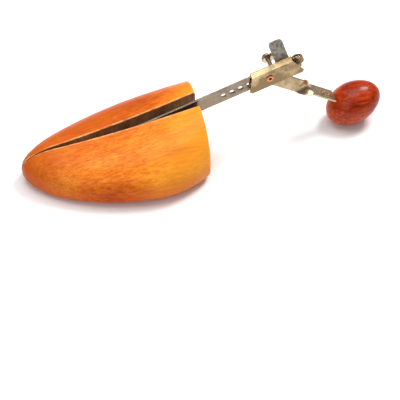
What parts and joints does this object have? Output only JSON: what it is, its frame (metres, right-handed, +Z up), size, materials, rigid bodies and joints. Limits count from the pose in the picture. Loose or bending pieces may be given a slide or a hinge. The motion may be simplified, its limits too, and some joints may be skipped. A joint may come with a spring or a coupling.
{
  "type": "shoe tree",
  "caption": "Split-toe wooden shoe tree with a perforated steel bar, a sliding locking housing, a folding arm and an egg-shaped heel knob.",
  "frame": {"origin": "centre of the bounding box's bottom, on the plane the sole and the knob rest on", "axes": "+X from the toe to the heel knob, +Z up from the sole, -Y towards the outer (little toe) side"},
  "size_m": [0.3024, 0.0992, 0.0942],
  "materials": {
    "toe_wood": "stained and varnished hardwood, satin to gloss",
    "knob_wood": "dark red-brown stained and varnished hardwood, gloss",
    "bar_steel": "plated flat steel, worn, satin",
    "plated_sheet": "bright plated sheet steel, slightly yellow",
    "grained_steel": "grained grey steel, matt",
    "arm_steel": "dulled plated steel",
    "pin_steel": "plated steel, satin",
    "spring_steel": "spring steel, bright",
    "dark_steel": "darkened steel",
    "copper": "copper-coloured, dull",
    "hardware": "plain zinc-coloured steel"
  },
  "bodies": {
    "toe_outer": {"outer_toe_half": "toe_wood", "outer_hinge_leaf": "hardware", "toe_hinge_pin": "hardware", "outer_leaf_screws": "hardware", "spread_spring": "spring_steel", "perforated_bar": "bar_steel", "bar_screws": "hardware"},
    "toe_inner": {"inner_toe_half": "toe_wood", "inner_hinge_leaf": "hardware", "inner_leaf_screws": "hardware"},
    "slider": {"slider_housing": "plated_sheet", "pivot_eyelet": "copper", "thumb_tab": "grained_steel", "bow_spring": "spring_steel", "tab_rivet": "dark_steel"},
    "lock_pin": {"lock_pin": "pin_steel"},
    "heel": {"heel_arm": "arm_steel", "heel_rod": "arm_steel", "rod_rivets": "copper", "heel_knob": "knob_wood"}
  },
  "joints": [
    {"name": "toe_spread", "type": "hinge", "parent": "toe_outer", "child": "toe_inner", "pos_m": [-0.13862, 0.00537, 0.0145], "axis": [0, 0, 1], "range_deg": [-3.4, 1], "stiffness_Nm_per_rad": 4, "deforming": ["spread_spring"]},
    {"name": "length_adjust", "type": "slide", "parent": "toe_outer", "child": "slider", "axis": [0.9483, 0, 0.3173], "range_m": [-0.0219, 0]},
    {"name": "pin_lock", "type": "slide", "parent": "slider", "child": "lock_pin", "axis": [0, -1, 0], "range_m": [0, 0.0023], "deforming": ["bow_spring"]},
    {"name": "knee", "type": "hinge", "parent": "slider", "child": "heel", "pos_m": [0.05323, 0.00537, 0.06776], "axis": [0, -1, 0], "range_deg": [0, 51.5]}
  ]
}
